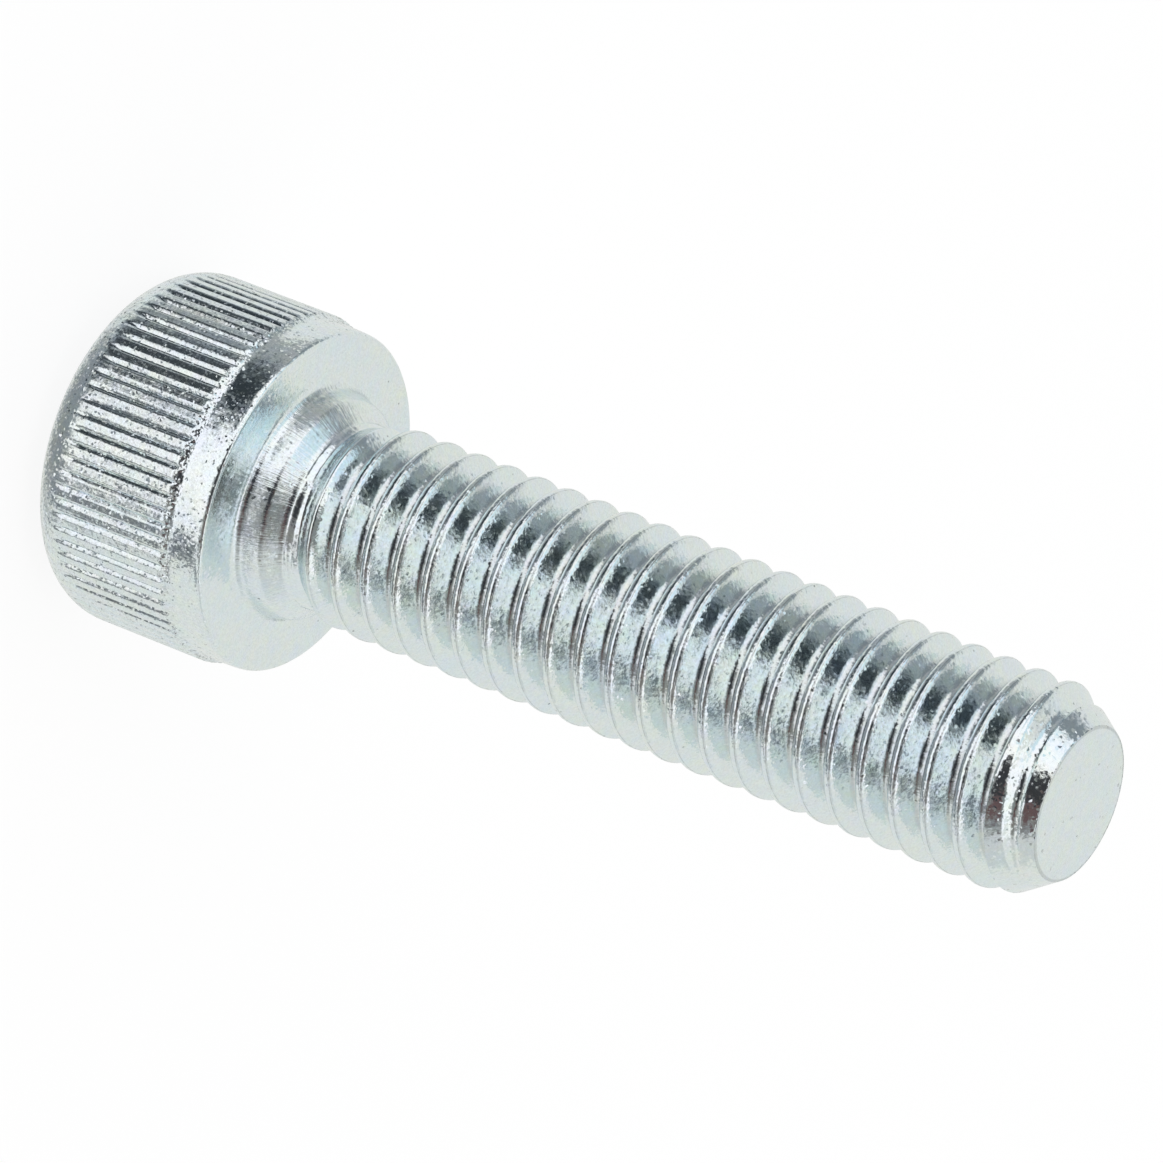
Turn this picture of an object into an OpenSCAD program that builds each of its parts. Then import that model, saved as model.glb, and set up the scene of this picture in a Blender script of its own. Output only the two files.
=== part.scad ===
// Hex socket cap screw, M6 x 25, knurled head, threaded right up to the head.
// One cold-forged and rolled piece. It stands on its head: the driving face is
// at z = 0 with the hex socket opening downward, and the tip points up.

/* [Head] */
// Diameter over the knurl crests
head_d = 10.1; // [9:0.05:12]
// Height from the driving face to the bearing face
head_h = 6; // [5:0.1:8]
// Height of the rounded edge at the driving face
edge_h = 1.35; // [0.6:0.05:1.8]
// How far the rounded edge draws in, on the radius
edge_inset = 1.5; // [0.4:0.05:1.8]
// Height of the plain band beside the bearing face
band_h = 0.8; // [0.4:0.05:1.5]
// Height of the chamfer that ends the knurl at the plain band
knurl_end_h = 0.2; // [0.1:0.05:0.4]
// How far the plain band lies below the groove bottoms, on the radius
band_step = 0.05; // [0.01:0.01:0.1]
// How far the plain band draws in before its rim, on the radius
band_taper = 0.05; // [0:0.01:0.15]
// Radius of the rim where the plain band meets the bearing face
rim_r = 0.06; // [0.03:0.01:0.15]

/* [Knurl] */
// Number of ridges round the head
knurl_count = 76; // [50:2:90]
// Depth of the grooves
knurl_depth = 0.09; // [0.06:0.01:0.18]
// Width of the flat crest of a ridge
knurl_land = 0.2; // [0.1:0.01:0.26]
// Turn of the knurl about the screw's axis, in degrees
knurl_turn = 4.3; // [0:0.1:5]

/* [Hex socket] */
// Width across the flats
hex_flats = 5; // [4:0.1:6]
// Depth of the flats below the driving face
hex_depth = 3; // [2:0.1:3.5]
// Height of the cone that closes the socket
hex_cone_h = 0.55; // [0.2:0.05:0.8]
// Radius of the flat at the end of that cone
hex_cone_end_r = 0.4; // [0.2:0.05:1]
// Width of the chamfer round the socket's mouth
hex_chamfer = 0.12; // [0.05:0.01:0.3]

/* [Shank] */
// Length from the bearing face to the tip
shank_len = 25; // [12:1:40]
// How far the collar under the head stands out past the thread, on the radius
collar_over = 0.15; // [0.05:0.05:0.3]
// Height of the collar, up to its chamfer
collar_h = 0.72; // [0.5:0.02:1]
// Radius of the fillet between the bearing face and the collar
fillet_r = 0.25; // [0.1:0.05:0.4]
// Height of the chamfer from the collar to the neck
collar_chamfer_h = 0.4; // [0.2:0.05:0.6]
// Height of the plain neck between that chamfer and the thread
neck_h = 0.3; // [0.2:0.05:1]
// How far the foot of the neck stands out past the thread's blank, on the radius
neck_over = 0.06; // [0.03:0.01:0.12]

/* [Thread] */
// Nominal thread diameter
thread_d = 6; // [5.5:0.1:6.5]
// Pitch of the thread
pitch = 1; // [0.8:0.05:1.25]
// How far the crests stay below the nominal diameter, on the radius
crest_allowance = 0.05; // [0:0.01:0.1]
// Turn of the thread about the screw's axis, in degrees
thread_turn = 42; // [0:1:360]
// Height over which the thread rises from the neck to its full depth
runout_h = 1; // [0.5:0.1:2]
// Height of the cone at the tip
point_h = 1.2; // [0.8:0.05:1.6]
// How far the tip's flat face stays inside the thread's root, on the radius
tip_inset = 0.24; // [0.1:0.01:0.4]
// Facets round one turn of the thread
thread_facets = 36; // [24:2:40]

/* [Hidden] */
zinc = [0.80, 0.84, 0.86];
round_steps = 96;
past = 1;                              // how far a cutter reaches past the metal

head_r = head_d / 2;
groove_r = head_r - knurl_depth;
band_r = groove_r - band_step;
band_z = head_h - band_h;
knurl_end_z = band_z - knurl_end_h;

hex_corner_r = hex_flats / 2 / cos(30);

flank_angle = 30;                      // of a metric thread, to the thread's diameter plane
thread_h = 0.61343;                    // depth of a metric external thread, in pitches
flat_at_crest = 1 / 8;                 // width of its basic crest, in pitches
crest_r = thread_d / 2 - crest_allowance;
root_r = thread_d / 2 - thread_h * pitch;
blank_r = (crest_r + root_r) / 2;      // the plain wire that the thread is rolled from
crest_w = flat_at_crest * pitch + 2 * crest_allowance * tan(flank_angle);
flank_w = (crest_r - root_r) * tan(flank_angle);
collar_r = thread_d / 2 + collar_over;

neck_z = head_h + collar_h + collar_chamfer_h;
tip_z = head_h + shank_len;
tip_r = root_r - tip_inset;
point_slope = (crest_r - tip_r) / point_h;

// The thread's mesh is a grid of columns round the axis and rows that climb with
// the helix, four to a pitch. In a plain zone at either end the rows are squeezed
// together, so that the first and last of them lie flat.
foot_z = neck_z + neck_h / 4;          // foot of the thread's mesh, inside the neck
thread_z = neck_z + neck_h / 2;        // where the round neck ends
ledge = 0.02;                          // keeps the neck's circle clear of the mesh's corners
start_z = neck_z + neck_h;             // where the thread starts to rise
end_z = tip_z - (root_r - tip_r) / point_slope;
row_step = 4;
low_z = start_z - 1.15 * pitch;        // crest of the first row, before squeezing
turns = ceil((end_z + 1.2 * pitch - low_z) / pitch);
rows = row_step * turns;
widest_crest = 0.8;                    // share of a flank that a cut crest may take over

function cone_r(z) = tip_r + (tip_z - z) * point_slope;

// How much wider each side of a crest gets where the point's cone cuts it
function crest_extra(z) =
    min(flank_w * widest_crest, max(0, crest_r - cone_r(z)) * tan(flank_angle));

// Height of a row before squeezing: 0 and 1 edge the crest, 2 and 3 the root
function free_z(row, column) =
    let (mid = low_z + pitch * (floor(row / row_step) + column / thread_facets),
         kind = row % row_step)
    kind == 0 ? mid - crest_w / 2 - crest_extra(mid) :
    kind == 1 ? mid + crest_w / 2 + crest_extra(mid) :
    kind == 2 ? mid + crest_w / 2 + flank_w :
    mid + pitch - crest_w / 2 - flank_w;

function row_z(row, column) =
    let (z = free_z(row, column), first = free_z(0, column), last = free_z(rows, column))
    z < start_z ? foot_z + (start_z - foot_z) * (z - first) / (start_z - first) :
    z > end_z ? end_z + (tip_z - end_z) * (z - end_z) / (last - end_z) : z;

function row_r(row, column) =
    let (z = row_z(row, column),
         full = row % row_step < 2 ? crest_r : root_r,
         risen = max(0, min(1, (z - start_z) / runout_h)))
    min(blank_r + risen * (full - blank_r), cone_r(z));

// An arc's points, in steps that include both ends
function arc(centre, rx, ry, from, to, steps) = [
    for (i = [0 : steps])
        let (a = from + (to - from) * i / steps)
        [centre[0] + rx * cos(a), centre[1] + ry * sin(a)]
];

// Half section of everything but the thread, as radius and height
module body_section() {
    polygon(concat(
        [[0, 0]],
        arc([head_r - edge_inset, edge_h], edge_inset, edge_h, 270, 360, 7),
        [[head_r, knurl_end_z], [band_r, band_z]],
        arc([band_r - band_taper - rim_r, head_h - rim_r], rim_r, rim_r, 0, 90, 3),
        arc([collar_r + fillet_r, head_h + fillet_r], fillet_r, fillet_r, 270, 180, 4),
        [[collar_r, head_h + collar_h], [blank_r + neck_over, neck_z],
         [blank_r + ledge, thread_z], [0, thread_z]]
    ));
}

// One straight V-groove of the knurl, as a flat outline
module groove_section() {
    half_angle = 180 / knurl_count - knurl_land / head_r * 90 / PI;
    edge = [head_r * cos(half_angle), head_r * sin(half_angle)];
    spread = edge[1] / (edge[0] - groove_r);
    reach = head_r + past;
    polygon([[groove_r, 0],
             [reach, -(reach - groove_r) * spread],
             [reach, (reach - groove_r) * spread]]);
}

module knurl_grooves() {
    translate([0, 0, -past])
        linear_extrude(height = head_h + past)
            for (i = [0 : knurl_count - 1])
                rotate(knurl_turn + 360 * i / knurl_count) groove_section();
}

module hex_socket() {
    translate([0, 0, -past])
        rotate(30) cylinder(h = hex_depth + past, r = hex_corner_r, $fn = 6);
    translate([0, 0, hex_depth])
        cylinder(h = hex_cone_h, r1 = hex_flats / 2, r2 = hex_cone_end_r, $fn = round_steps);
    // Chamfer round the mouth, at 45 degrees
    translate([0, 0, -past])
        cylinder(h = past + hex_corner_r + hex_chamfer, r1 = hex_corner_r + hex_chamfer + past,
                 r2 = 0, $fn = round_steps);
}

// The rolled thread, its run-out and the pointed tip, as one closed mesh
module thread() {
    last_column = thread_facets - 1;
    function at(column, row) = column * (rows + 1) + row;
    // Two triangles between neighbouring rows of two columns
    function patch(left, right, left_row, right_row) = [
        [at(left, left_row), at(left, left_row + 1), at(right, right_row + 1)],
        [at(left, left_row), at(right, right_row + 1), at(right, right_row)]
    ];
    polyhedron(
        points = [
            for (column = [0 : last_column], row = [0 : rows])
                let (angle = 360 * column / thread_facets, r = row_r(row, column))
                [r * cos(angle), r * sin(angle), row_z(row, column)]
        ],
        faces = concat(
            [[for (column = [0 : last_column]) at(column, 0)]],
            [[for (column = [last_column : -1 : 0]) at(column, rows)]],
            [for (column = [0 : last_column - 1], row = [0 : rows - 1])
                each patch(column, column + 1, row, row)],
            // Where the last column meets the first, a row joins the one a pitch on
            [for (row = [0 : rows - row_step - 1])
                each patch(last_column, 0, row, row + row_step)],
            [for (row = [0 : row_step - 1])
                [at(last_column, 0), at(0, row + 1), at(0, row)]],
            [for (row = [rows - row_step : rows - 1])
                [at(last_column, row), at(last_column, row + 1), at(0, rows)]]
        ),
        convexity = 10
    );
}

module cap_screw() {
    color(zinc) {
        difference() {
            rotate_extrude($fn = round_steps) body_section();
            knurl_grooves();
            hex_socket();
        }
        rotate(thread_turn) thread();
    }
}

cap_screw();
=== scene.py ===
"""Looks of a zinc-plated hex socket cap screw, M6 x 25, with a knurled head.

The screw stands on its head: the driving face lies at z = 0 and the tip points
up. Sizes in the classes are in millimetres and angles in degrees; the meshes
are in metres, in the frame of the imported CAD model.
"""

import logging
import math
from dataclasses import asdict, dataclass, field
from enum import Enum

import bpy
from mathutils import Matrix, Vector


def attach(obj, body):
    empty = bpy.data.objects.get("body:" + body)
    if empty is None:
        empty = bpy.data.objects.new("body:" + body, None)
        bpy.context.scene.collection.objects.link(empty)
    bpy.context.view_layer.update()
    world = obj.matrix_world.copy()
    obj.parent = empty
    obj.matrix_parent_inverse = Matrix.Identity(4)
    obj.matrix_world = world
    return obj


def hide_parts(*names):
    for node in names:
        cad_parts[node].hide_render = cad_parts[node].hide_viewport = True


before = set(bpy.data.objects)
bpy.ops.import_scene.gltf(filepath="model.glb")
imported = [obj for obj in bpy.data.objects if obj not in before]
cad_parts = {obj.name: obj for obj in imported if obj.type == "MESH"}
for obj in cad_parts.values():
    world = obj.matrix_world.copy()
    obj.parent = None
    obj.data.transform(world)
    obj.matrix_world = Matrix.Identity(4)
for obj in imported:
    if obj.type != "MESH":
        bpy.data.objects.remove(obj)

MM = 0.001
CAD_NODE = "cap_screw"
LOG = logging.getLogger("cap_screw")

# Added to one of several radii, it keeps that one from being the smallest
OUT_OF_PLAY = 10.0

Point = tuple[float, float, float]
Colour = tuple[float, float, float]
Pair = tuple[float, float]


class Finish(Enum):
    """The finishes of the one plated surface, by how the steel under it was formed."""

    FORGED = "zinc_on_forged_head"
    DRAWN = "zinc_on_drawn_neck"
    ROLLED = "zinc_on_rolled_thread"


@dataclass(frozen=True)
class Wire:
    """A number, a vector, a colour or a mesh on its way through a node tree."""

    tree: bpy.types.NodeTree
    socket: bpy.types.NodeSocket

    def _join(self, operation: str, *others: "Wire | float") -> "Wire":
        """Sends this wire and others through one Math node.

        Args:
            operation: What the node does.
            others: The further values that it takes.

        Returns:
            The node's result.
        """
        node = self.tree.nodes.new("ShaderNodeMath")
        node.operation = operation
        for place, value in zip(node.inputs, (self, *others)):
            feed(self.tree, place, value)
        return Wire(self.tree, node.outputs[0])

    def __add__(self, other: "Wire | float") -> "Wire":
        """Sum."""
        return self._join("ADD", other)

    def __sub__(self, other: "Wire | float") -> "Wire":
        """Difference."""
        return self._join("SUBTRACT", other)

    def __mul__(self, other: "Wire | float") -> "Wire":
        """Product."""
        return self._join("MULTIPLY", other)

    def __truediv__(self, other: "Wire | float") -> "Wire":
        """Quotient."""
        return self._join("DIVIDE", other)

    __radd__ = __add__
    __rmul__ = __mul__

    def __rsub__(self, other: float) -> "Wire":
        """A plain number less this wire."""
        return self * -1.0 + other

    def low(self, other: "Wire | float") -> "Wire":
        """The smaller of the two."""
        return self._join("MINIMUM", other)

    def high(self, other: "Wire | float") -> "Wire":
        """The larger of the two."""
        return self._join("MAXIMUM", other)

    def held(self, low: "Wire | float", high: "Wire | float") -> "Wire":
        """This value, kept between low and high."""
        return self.high(low).low(high)

    def unsigned(self) -> "Wire":
        """The value without its sign."""
        return self._join("ABSOLUTE")

    def floor(self) -> "Wire":
        """The whole number below."""
        return self._join("FLOOR")

    def power(self, exponent: float) -> "Wire":
        """This value raised to a power."""
        return self._join("POWER", exponent)

    def cos(self) -> "Wire":
        """Cosine of an angle in radians."""
        return self._join("COSINE")

    def sin(self) -> "Wire":
        """Sine of an angle in radians."""
        return self._join("SINE")

    def angle_from(self, across: "Wire") -> "Wire":
        """Angle in radians of the point with this height and that distance across."""
        return self._join("ARCTAN2", across)

    def above(self, limit: "Wire | float") -> "Wire":
        """1 where the value is above the limit, else 0."""
        return self._join("GREATER_THAN", limit)

    def ease(self, start: "Wire | float", end: "Wire | float") -> "Wire":
        """Rises smoothly with this value.

        Args:
            start: Where it leaves 0.
            end: Where it reaches 1.

        Returns:
            A number from 0 to 1.
        """
        node = self.tree.nodes.new("ShaderNodeMapRange")
        node.interpolation_type = "SMOOTHSTEP"
        for place, value in zip(node.inputs, (self, start, end)):
            feed(self.tree, place, value)
        return Wire(self.tree, node.outputs[0])

    def blend(self, first: "Wire | float", second: "Wire | float") -> "Wire":
        """Mixes two numbers by this one.

        Args:
            first: The result where this wire is 0.
            second: The result where it is 1.

        Returns:
            The mixed number.
        """
        node = self.tree.nodes.new("ShaderNodeMix")
        places = (node.inputs[0], node.inputs[2], node.inputs[3])
        for place, value in zip(places, (self, first, second)):
            feed(self.tree, place, value)
        return Wire(self.tree, node.outputs[0])

    def tint(self, first: object, second: object) -> "Wire":
        """Mixes two colours by this number.

        Args:
            first: The colour where this wire is 0.
            second: The colour where it is 1.

        Returns:
            The mixed colour.
        """
        node = node_of(self.tree, "ShaderNodeMix", {"data_type": "RGBA"})
        for place, value in zip((node.inputs[0], *node.inputs[6:8]), (self, first, second)):
            feed(self.tree, place, value)
        return Wire(self.tree, node.outputs[2])


def feed(tree: bpy.types.NodeTree, place: bpy.types.NodeSocket, value: object) -> None:
    """Sets an input socket to a plain value, or links a wire to it.

    Args:
        tree: The tree that holds the socket.
        place: The input socket.
        value: A wire, a number, or a tuple as long as the socket's value.
    """
    if isinstance(value, Wire):
        tree.links.new(value.socket, place)
    else:
        place.default_value = value


def node_of(
    tree: bpy.types.NodeTree,
    kind: str,
    settings: dict[str, object] | None = None,
    **inputs: object,
) -> bpy.types.Node:
    """Adds a node and fills its inputs.

    Args:
        tree: The tree to add to.
        kind: The node's type name.
        settings: Values for the node's own properties.
        inputs: Values or wires by input name, with _ for a space.

    Returns:
        The new node.
    """
    node = tree.nodes.new(kind)
    for name, value in (settings or {}).items():
        setattr(node, name, value)
    for name, value in inputs.items():
        feed(tree, node.inputs[name.replace("_", " ")], value)
    return node


def vector_of(tree: bpy.types.NodeTree, x: object, y: object, z: object) -> Wire:
    """Joins three numbers or wires to a vector wire."""
    node = node_of(tree, "ShaderNodeCombineXYZ", X=x, Y=y, Z=z)
    return Wire(tree, node.outputs[0])


def vector_math(tree: bpy.types.NodeTree, operation: str, *values: object) -> Wire:
    """Sends vectors through one Vector Math node.

    Args:
        tree: The tree to add to.
        operation: What the node does.
        values: Its vectors, as wires or tuples; for SCALE, a vector and a number.

    Returns:
        The resulting vector, or the number that a dot product gives.
    """
    node = node_of(tree, "ShaderNodeVectorMath", {"operation": operation})
    places = (node.inputs[0], node.inputs["Scale"]) if operation == "SCALE" else node.inputs
    for place, value in zip(places, values):
        feed(tree, place, value)
    return Wire(tree, node.outputs["Value" if operation == "DOT_PRODUCT" else "Vector"])


def noise_of(
    tree: bpy.types.NodeTree, place: Wire, scale: float, detail: float = 2.0, rough: float = 0.5
) -> Wire:
    """Smooth noise about 0, mostly between -0.3 and 0.3.

    Args:
        tree: The tree to add to.
        place: Vector wire of the place.
        scale: Waves per unit of the place.
        detail: Octaves of finer noise.
        rough: How strong the finer octaves are.

    Returns:
        The noise less its mean.
    """
    node = node_of(
        tree, "ShaderNodeTexNoise", Vector=place, Scale=scale, Detail=detail, Roughness=rough
    )
    return Wire(tree, node.outputs[0]) - 0.5


def cells_of(tree: bpy.types.NodeTree, place: Wire, scale: float) -> tuple[Wire, Wire]:
    """Splits space into small cells at random.

    Args:
        tree: The tree to add to.
        place: Vector wire of the place.
        scale: Cells per unit of the place.

    Returns:
        A random vector and a random number for each cell, both from 0 to 1.
    """
    cells = node_of(tree, "ShaderNodeTexVoronoi", Vector=place, Scale=scale, Randomness=1.0)
    vector = Wire(tree, cells.outputs["Color"])
    number = node_of(tree, "ShaderNodeTexWhiteNoise", Vector=vector)
    return vector, Wire(tree, number.outputs["Value"])


def smooth(value: float, start: float, end: float) -> float:
    """Rises smoothly from 0 at start to 1 at end."""
    share = min(1.0, max(0.0, (value - start) / (end - start)))
    return share * share * (3 - 2 * share)


def band_of(lower: list[int], upper: list[int]) -> list[tuple[int, ...]]:
    """Faces between two closed rings of as many points, the upper one above or inside."""
    return list(zip(lower, lower[1:] + lower[:1], upper[1:] + upper[:1], upper))


@dataclass
class Lattice:
    """Points with stored numbers, and the faces between them."""

    numbers: dict[str, list[float]] = field(default_factory=dict)
    faces: list[tuple[int, ...]] = field(default_factory=list)
    count: int = 0

    def point(self, **numbers: float) -> int:
        """Adds a point.

        Args:
            numbers: What the point stores, by name.

        Returns:
            The point's index.
        """
        for name, value in numbers.items():
            self.numbers.setdefault(name, []).append(value)
        self.count += 1
        return self.count - 1

    def mesh(self, name: str) -> bpy.types.Mesh:
        """Makes the lattice a mesh, with all its points at the origin.

        Args:
            name: The mesh's name.

        Returns:
            The mesh, with one attribute for each stored number.
        """
        made = bpy.data.meshes.new(name)
        made.from_pydata([(0.0, 0.0, 0.0)] * self.count, [], self.faces)
        for key, values in self.numbers.items():
            made.attributes.new(key, "FLOAT", "POINT").data.foreach_set("value", values)
        return made


@dataclass
class RuleTree:
    """A Geometry Nodes tree that lays a lattice out by a rule and dresses it."""

    name: str
    sizes: dict[str, float]
    material: bpy.types.Material
    tree: bpy.types.NodeTree = field(init=False)
    entry: bpy.types.Node = field(init=False)
    places: dict[str, str] = field(init=False)

    def __post_init__(self) -> None:
        """Opens the tree with its named inputs."""
        self.tree = bpy.data.node_groups.new(self.name, "GeometryNodeTree")
        face = self.tree.interface
        face.new_socket("Lattice", in_out="INPUT", socket_type="NodeSocketGeometry")
        face.new_socket("Mesh", in_out="OUTPUT", socket_type="NodeSocketGeometry")
        kinds = {name: "NodeSocketFloat" for name in self.sizes}
        kinds["Material"] = "NodeSocketMaterial"
        self.places = {
            name: face.new_socket(name, in_out="INPUT", socket_type=kind).identifier
            for name, kind in kinds.items()
        }
        self.entry = self.tree.nodes.new("NodeGroupInput")

    def size(self, name: str) -> Wire:
        """The wire of a named input."""
        return Wire(self.tree, self.entry.outputs[name])

    def stored(self, name: str) -> Wire:
        """The wire of a number that the lattice stores at its points.

        Args:
            name: The stored number's name.

        Returns:
            Its wire.
        """
        node = node_of(
            self.tree, "GeometryNodeInputNamedAttribute", {"data_type": "FLOAT"}, Name=name
        )
        return Wire(self.tree, node.outputs[0])

    def noise(
        self,
        angle: Wire,
        height: Wire,
        waves: Pair,
        seed: Wire,
        detail: float = 2.0,
        rough: float = 0.5,
    ) -> Wire:
        """Noise on a cylinder about the axis.

        Args:
            angle: Angle about the axis, in radians.
            height: Height along the axis.
            waves: Waves to a radian round the axis, and to a millimetre along it.
            seed: Shifts the noise along the axis.
            detail: Octaves of finer noise.
            rough: How strong the finer octaves are.

        Returns:
            The noise, less its mean.
        """
        around, along = waves
        place = vector_of(
            self.tree, angle.cos() * around, angle.sin() * around, height * along + seed
        )
        return noise_of(self.tree, place, 1.0, detail, rough)

    def close(self, angle: Wire, radius: Wire, height: Wire) -> None:
        """Places the points about the axis and ends the tree.

        Args:
            angle: Each point's angle, in radians.
            radius: Its radius, in millimetres.
            height: Its height, in millimetres.
        """
        tree = self.tree
        x, y = radius * angle.cos() * MM, radius * angle.sin() * MM
        made = self.size("Lattice")
        for kind, inputs in (
            ("GeometryNodeSetPosition", {"Position": vector_of(tree, x, y, height * MM)}),
            ("GeometryNodeRealizeInstances", {}),
            ("GeometryNodeSetMaterial", {"Material": self.size("Material")}),
        ):
            made = Wire(tree, node_of(tree, kind, Geometry=made, **inputs).outputs[0])
        feed(tree, tree.nodes.new("NodeGroupOutput").inputs[0], made)

    def run(self, lattice: Lattice) -> bpy.types.Mesh:
        """Runs the tree over a lattice.

        Args:
            lattice: The points, stored numbers and faces to lay out.

        Returns:
            The finished plain mesh.
        """
        holder = bpy.data.objects.new(self.name, lattice.mesh(self.name))
        bpy.context.scene.collection.objects.link(holder)
        modifier = holder.modifiers.new(self.name, "NODES")
        modifier.node_group = self.tree
        for name, value in self.sizes.items():
            modifier[self.places[name]] = float(value)
        modifier[self.places["Material"]] = self.material
        bpy.context.view_layer.update()
        graph = bpy.context.evaluated_depsgraph_get()
        made = bpy.data.meshes.new_from_object(holder.evaluated_get(graph))
        holder.modifiers.clear()
        bpy.data.objects.remove(holder)
        return made


@dataclass
class Shell:
    """Plain mesh data that the screw's parts are gathered in."""

    points: list[Point] = field(default_factory=list)
    faces: list[tuple[int, ...]] = field(default_factory=list)
    slots: list[int] = field(default_factory=list)

    def loop(self, places: list[Point]) -> list[int]:
        """Adds points about the axis.

        Args:
            places: Radius and height in millimetres and angle in radians of each point.

        Returns:
            The points' indices.
        """
        first = len(self.points)
        self.points += [(r * math.cos(a) * MM, r * math.sin(a) * MM, z * MM) for r, z, a in places]
        return list(range(first, len(self.points)))

    def ring(self, radius: float, height: float, angles: list[float]) -> list[int]:
        """Adds a level round ring of points and returns their indices."""
        return self.loop([(radius, height, angle) for angle in angles])

    def face(self, corners: tuple[int, ...], slot: int) -> None:
        """Adds one face in a material slot."""
        self.faces.append(corners)
        self.slots.append(slot)

    def quads(self, lower: list[int], upper: list[int], slot: int) -> None:
        """Joins two rings of as many points, the upper one above or inside."""
        for corners in band_of(lower, upper):
            self.face(corners, slot)

    def fan(self, ring: list[int], height: float, slot: int, upward: bool) -> None:
        """Closes a ring with triangles to a point on the axis.

        Args:
            ring: The ring's points, anticlockwise from above.
            height: Height of the point on the axis.
            slot: Material slot of the faces.
            upward: Whether the faces look up, and not down.
        """
        centre = len(self.points)
        self.points.append((0.0, 0.0, height * MM))
        for index, following in zip(ring, ring[1:] + ring[:1]):
            self.face((index, following, centre) if upward else (following, index, centre), slot)

    def around(self, ring: list[int]) -> list[tuple[float, int]]:
        """Sorts a ring's points by their angle about the axis.

        Args:
            ring: The points' indices.

        Returns:
            Angle in radians and index of each, and the first again a full turn on.
        """
        turned = sorted(
            (math.atan2(self.points[i][1], self.points[i][0]) % math.tau, i) for i in ring
        )
        return [*turned, (turned[0][0] + math.tau, turned[0][1])]

    def zip_rings(self, lower: list[int], upper: list[int], slot: int) -> None:
        """Joins two rings of different counts with triangles, by their angles about the axis.

        Args:
            lower: Indices of the ring below or outside.
            upper: Indices of the ring above or inside.
            slot: Material slot of the faces.
        """
        low, up = self.around(lower), self.around(upper)
        i = j = 0
        while i < len(low) - 1 or j < len(up) - 1:
            if j == len(up) - 1 or (i < len(low) - 1 and low[i + 1][0] <= up[j + 1][0]):
                self.face((low[i][1], low[i + 1][1], up[j][1]), slot)
                i += 1
            else:
                self.face((low[i][1], up[j + 1][1], up[j][1]), slot)
                j += 1

    def take(self, mesh: bpy.types.Mesh, slot: int) -> int:
        """Adds a finished mesh's points and faces.

        Args:
            mesh: The mesh.
            slot: Material slot of its faces.

        Returns:
            The index of its first point.
        """
        first = len(self.points)
        self.points += [tuple(vertex.co) for vertex in mesh.vertices]
        for polygon in mesh.polygons:
            self.face(tuple(first + i for i in polygon.vertices), slot)
        return first


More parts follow.
